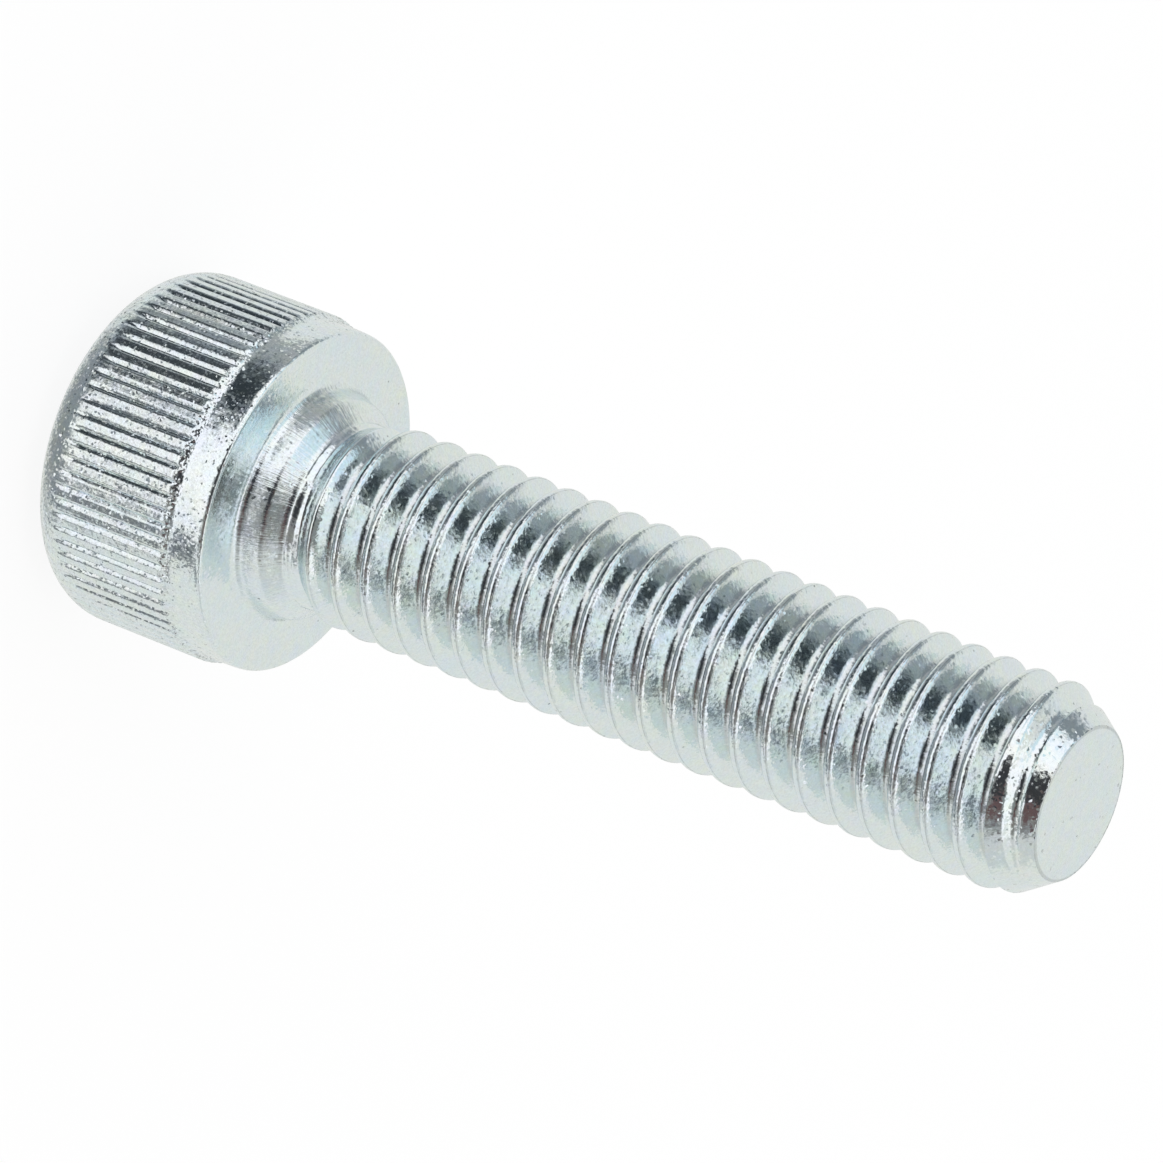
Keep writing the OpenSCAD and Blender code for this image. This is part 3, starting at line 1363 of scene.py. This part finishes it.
@dataclass
class CapScrew:
    """The whole screw, as one closed mesh in place of the CAD node."""

    head: Head = field(default_factory=Head)
    socket: Socket = field(default_factory=Socket)
    neck: Neck = field(default_factory=Neck)
    thread: Thread = field(default_factory=Thread)
    end_face: EndFace = field(default_factory=EndFace)
    forged: ZincPlate = ForgedZinc(Finish.FORGED, facets_per_mm=17.0, facet=0.2, glint=2.8)
    drawn: ZincPlate = DrawnZinc(Finish.DRAWN, facet=0.11, glint=2.2, mottle=0.09)
    rolled: ZincPlate = RolledZinc(Finish.ROLLED, facet=0.095, glint=2.6, mottle=0.08)
    # Edges that turn by more than this stay sharp
    sharp_angle: float = 48.0

    def gather(self, materials: list[bpy.types.Material]) -> Shell:
        """Makes the parts and joins them to one closed shell.

        Args:
            materials: The forged, the drawn and the rolled finish.

        Returns:
            The shell, with a material slot for each finish.
        """
        forged, drawn, rolled = range(3)
        shell = Shell()
        side = self.head.rule(materials[forged]).run(self.head.lattice())
        report("head", side)
        first, count = shell.take(side, forged), len(self.head.columns())
        top = list(range(len(shell.points) - count, len(shell.points)))
        mouth = self.socket.build(shell, forged)
        shell.zip_rings(mouth, list(range(first, first + count)), forged)

        lattice, foot, tip = self.thread.lattice()
        wound = self.thread.rule(materials[rolled]).run(lattice)
        report("thread", wound)
        first, angles = shell.take(wound, rolled), self.thread.angles()
        outer, inner = self.neck.build(shell, angles, drawn)
        shell.zip_rings(top, outer, drawn)
        shell.quads(inner, [first + i for i in foot], drawn)
        self.end_face.build(shell, [first + i for i in tip], angles, rolled)
        return shell

    def build(self) -> bpy.types.Object:
        """Builds the screw's mesh, dresses it and hangs it on the frame.

        Returns:
            The finished screw.
        """
        materials = [finish.material() for finish in (self.forged, self.drawn, self.rolled)]
        shell = self.gather(materials)
        mesh = bpy.data.meshes.new("screw_body")
        mesh.from_pydata(shell.points, [], shell.faces)
        for material in materials:
            mesh.materials.append(material)
        mesh.polygons.foreach_set("material_index", shell.slots)
        mesh.validate()
        mesh.shade_smooth()
        mesh.set_sharp_from_angle(angle=math.radians(self.sharp_angle))
        screw = bpy.data.objects.new("screw_body", mesh)
        bpy.context.scene.collection.objects.link(screw)
        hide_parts(CAD_NODE)
        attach(screw, "root")
        report("screw body", mesh)
        return screw


def report(name: str, mesh: bpy.types.Mesh) -> None:
    """Writes a finished mesh's face count to the log."""
    mesh.calc_loop_triangles()
    LOG.info("%s: %d triangles", name, len(mesh.loop_triangles))


@dataclass
class View:
    """The camera, placed as in the photograph: distance and aim in metres."""

    aim: Point = (-0.0007037, -0.0015365, 0.015670)
    distance: float = 0.261165
    azimuth: float = -89.82
    elevation: float = 28.466
    roll: float = 111.218
    lens: float = 303.16
    sensor: float = 36.0
    reach: Pair = (0.01, 5.0)

    def axes(self) -> tuple[Vector, Vector, Vector]:
        """Works out which way the camera faces.

        Returns:
            The picture's right and up, and the way back to the camera.
        """
        a, e, r = (math.radians(v) for v in (self.azimuth, self.elevation, self.roll))
        back = Vector((math.cos(e) * math.cos(a), math.cos(e) * math.sin(a), math.sin(e)))
        level = Vector((0, 0, 1)).cross(back).normalized()
        rise = back.cross(level)
        right = level * math.cos(r) + rise * math.sin(r)
        return right, back.cross(right), back

    def build(self) -> None:
        """Adds the camera to the scene."""
        right, up, back = self.axes()
        data = bpy.data.cameras.new("camera")
        data.sensor_width, data.lens = self.sensor, self.lens
        data.clip_start, data.clip_end = self.reach
        camera = bpy.data.objects.new("camera", data)
        turn = Matrix((right, up, back)).transposed().to_4x4()
        camera.matrix_world = Matrix.Translation(Vector(self.aim) + back * self.distance) @ turn
        bpy.context.scene.collection.objects.link(camera)
        bpy.context.scene.camera = camera


def direction(across: float, down: float) -> Point:
    """Turns degrees across and down from the camera to a direction.

    Args:
        across: Degrees to the right.
        down: Degrees down.

    Returns:
        Its reach to the right, up and back in the picture's axes.
    """
    far = math.hypot(across, down)
    share = math.sin(math.radians(far)) / far if far else 0.0
    return across * share, -down * share, math.cos(math.radians(far))


@dataclass(frozen=True)
class Patch:
    """A soft-edged round patch of the studio, seen from the screw.

    Its place is given in degrees across and down from the camera, as on a round
    picture of the studio. It reaches to its radius and fades over soft degrees
    on either side, and it may be kept to one side of the studio: side is the way
    to the middle of that side, and side_edge the cosines between which it fades.
    """

    across: float
    down: float
    radius: float
    soft: float
    colour: Colour
    side: Pair | None = None
    side_edge: Pair = (0.0, 0.3)


@dataclass
class Studio:
    """The pale studio: a white sweep, a bright window in front, and dark gaps in it."""

    view: View
    sweep: Colour = (0.825, 0.825, 0.80)
    patches: tuple[Patch, ...] = (
        # Grey walls beside and behind the bright window
        Patch(-107.0, -38.0, 27.0, 16.0, (0.31, 0.32, 0.33)),
        Patch(-4.0, -9.0, 102.0, 11.0, (0.26, 0.285, 0.305), (40.0, -80.0), (0.5, 0.78)),
        Patch(0.0, -2.0, 108.0, 8.0, (0.27, 0.29, 0.31), (-66.0, -58.0), (0.3, 0.55)),
        Patch(26.0, -82.0, 9.0, 6.0, (0.44, 0.45, 0.46)),
        Patch(16.0, -100.0, 13.0, 7.0, (0.40, 0.41, 0.42)),
        Patch(-31.0, -66.0, 17.0, 14.0, (0.035, 0.043, 0.05)),
        Patch(0.0, 0.0, 82.0, 4.0, (0.27, 0.28, 0.29), (-71.0, 41.0), (0.8, 0.95)),
        Patch(-76.0, 33.0, 6.5, 5.0, (0.15, 0.16, 0.17)),
        # The bright window in front, with a blue-green corner
        Patch(0.0, 0.0, 70.5, 3.5, (1.02, 0.99, 0.98), (-88.0, 20.0), (0.3, 0.7)),
        Patch(8.0, 0.0, 66.0, 5.0, (1.14, 1.11, 1.13)),
        Patch(58.0, -24.0, 16.0, 8.0, (0.72, 0.86, 0.93)),
        # Shades in the window and below it
        Patch(-20.0, -50.0, 10.0, 8.0, (0.16, 0.18, 0.19)),
        Patch(-40.0, 36.0, 8.0, 7.0, (0.30, 0.30, 0.30)),
        Patch(2.0, 66.0, 16.0, 12.0, (0.68, 0.68, 0.66)),
        Patch(12.0, 88.0, 10.0, 9.0, (0.66, 0.68, 0.67)),
        # The dark middle, where the camera stands
        Patch(0.0, 27.0, 32.0, 9.0, (0.26, 0.255, 0.245)),
        Patch(-18.0, 3.0, 15.5, 6.0, (0.28, 0.28, 0.28)),
        Patch(34.0, 24.0, 12.0, 8.0, (0.24, 0.25, 0.25)),
        Patch(4.0, 31.0, 10.0, 8.0, (0.145, 0.09, 0.09)),
        Patch(7.0, 2.0, 18.0, 5.0, (0.045, 0.045, 0.05)),
        Patch(-3.0, 8.0, 15.5, 4.5, (0.045, 0.045, 0.05)),
    )
    floor_size: float = 1.2
    floor_lit: float = 0.18
    floor_glow: float = 0.87

    def along(self, seen: Wire, across: float, down: float) -> Wire:
        """Compares a place in the studio with a direction.

        Args:
            seen: The way from the screw to the place.
            across: The direction's degrees to the right of the camera.
            down: Its degrees below the camera.

        Returns:
            The cosine of the angle between them.
        """
        axes, reaches = self.view.axes(), direction(across, down)
        way = sum((axis * reach for axis, reach in zip(axes, reaches)), Vector())
        return vector_math(seen.tree, "DOT_PRODUCT", seen, tuple(way.normalized()))

    def share(self, seen: Wire, patch: Patch) -> Wire:
        """Works out where a patch covers the studio.

        Args:
            seen: The way from the screw to the place in the studio.
            patch: The patch.

        Returns:
            1 inside the patch and 0 outside it.
        """
        outer, inner = (math.cos(math.radians(patch.radius + patch.soft * s)) for s in (1, -1))
        share = self.along(seen, patch.across, patch.down).ease(outer, inner)
        if patch.side:
            share = share * self.along(seen, *patch.side).ease(*patch.side_edge)
        return share

    def world(self) -> None:
        """Sets the world: white to the camera, the studio to everything else."""
        world = bpy.data.worlds.new("studio")
        bpy.context.scene.world = world
        world.use_nodes = True
        tree = world.node_tree
        seen = Wire(tree, tree.nodes.new("ShaderNodeTexCoord").outputs["Generated"])
        colour: object = (*self.sweep, 1.0)
        for patch in self.patches:
            colour = self.share(seen, patch).tint(colour, (*patch.colour, 1.0))
        camera_ray = Wire(tree, tree.nodes.new("ShaderNodeLightPath").outputs["Is Camera Ray"])
        white = (1.0, 1.0, 1.0, 1.0)
        feed(tree, tree.nodes["Background"].inputs["Color"], camera_ray.tint(colour, white))

    def floor(self) -> None:
        """Adds the white floor, which shows the screw's soft shadow."""
        half = self.floor_size / 2
        corners = [(-half, -half, 0), (half, -half, 0), (half, half, 0), (-half, half, 0)]
        mesh = bpy.data.meshes.new("floor")
        mesh.from_pydata(corners, [], [(0, 1, 2, 3)])
        material = bpy.data.materials.new("white_floor")
        material.use_nodes = True
        tree = material.node_tree
        shader = tree.nodes["Principled BSDF"]
        shader.inputs["Base Color"].default_value = (self.floor_lit,) * 3 + (1.0,)
        shader.inputs["Roughness"].default_value = 1.0
        shader.inputs["Specular IOR Level"].default_value = 0.0
        shader.inputs["Emission Color"].default_value = (1.0, 1.0, 1.0, 1.0)
        camera_ray = Wire(tree, tree.nodes.new("ShaderNodeLightPath").outputs["Is Camera Ray"])
        feed(tree, shader.inputs["Emission Strength"], camera_ray * self.floor_glow)
        mesh.materials.append(material)
        floor = bpy.data.objects.new("floor", mesh)
        floor.visible_glossy = False
        bpy.context.scene.collection.objects.link(floor)

    def build(self) -> None:
        """Adds the world and the floor."""
        self.world()
        self.floor()


def main() -> None:
    """Builds the screw, the studio and the camera, and notes the sizes."""
    logging.basicConfig(level=logging.INFO, format="%(message)s")
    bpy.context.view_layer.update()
    view = View()
    CapScrew().build()
    Studio(view).build()
    view.build()
    bpy.context.scene.view_settings.view_transform = "Standard"


if __name__ == "__main__":
    main()
